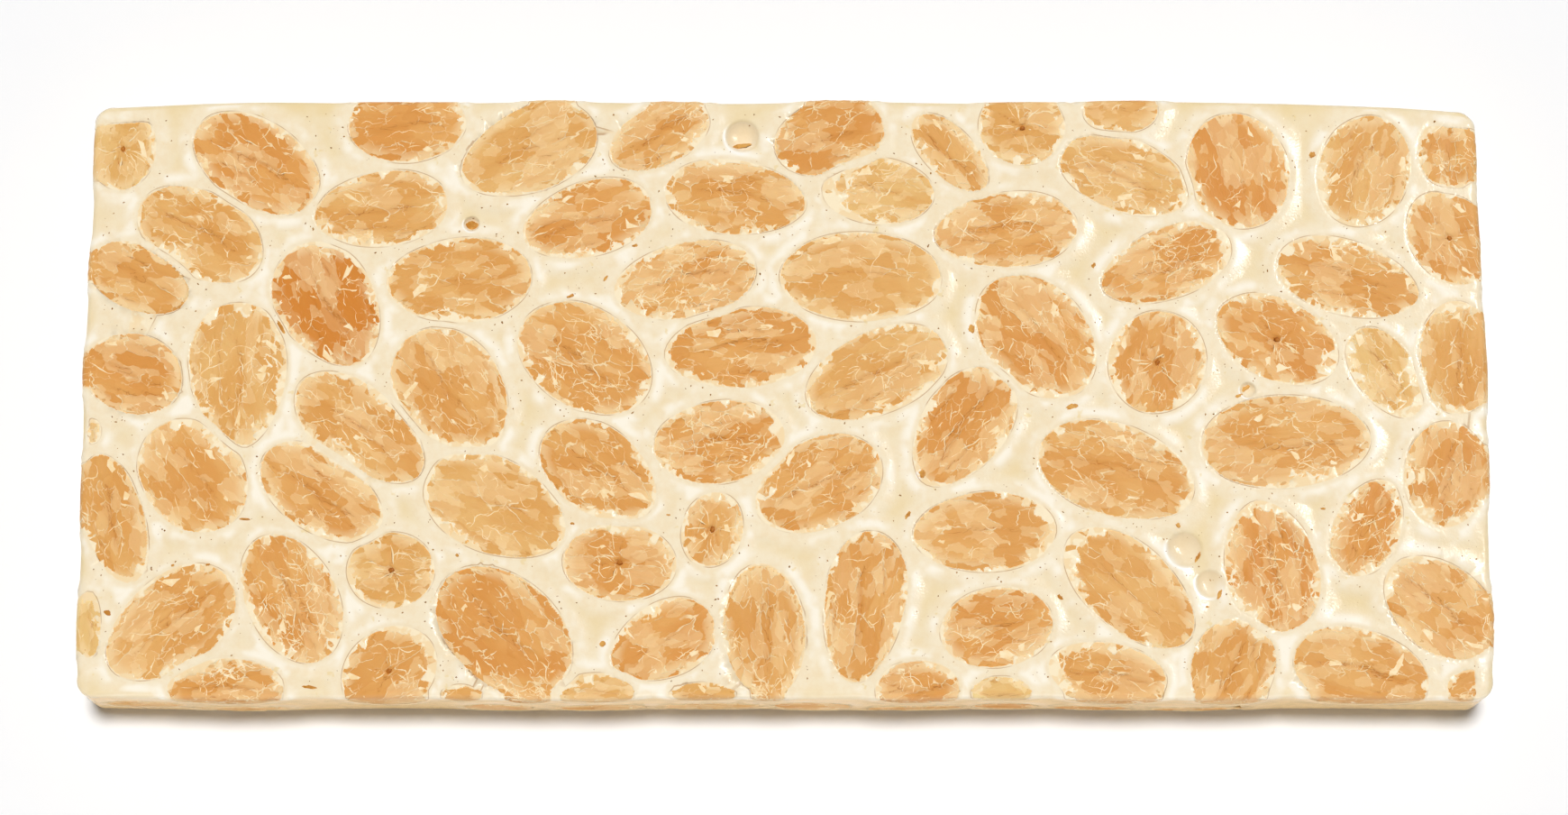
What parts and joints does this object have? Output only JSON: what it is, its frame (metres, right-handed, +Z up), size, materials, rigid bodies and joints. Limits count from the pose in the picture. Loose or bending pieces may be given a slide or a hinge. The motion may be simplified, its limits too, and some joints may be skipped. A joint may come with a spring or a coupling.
{
  "type": "alicante turron",
  "caption": "flat rectangular tablet of pale honey nougat packed with whole toasted almonds that stand slightly proud of its face, sawn square on all sides, a sweet to break and share",
  "frame": {"origin": "centre of the flat base, which is the bottom centre of the bounding box", "axes": "+X along the tablet's length, +Y across it towards the back edge, +Z up out of the upper face"},
  "size_m": [0.1874, 0.0816, 0.014],
  "materials": {
    "nougat": "satin, faintly translucent honey nougat with toasted almonds set in it"
  },
  "bodies": {
    "root": {"turron_tablet": "nougat"}
  },
  "joints": []
}
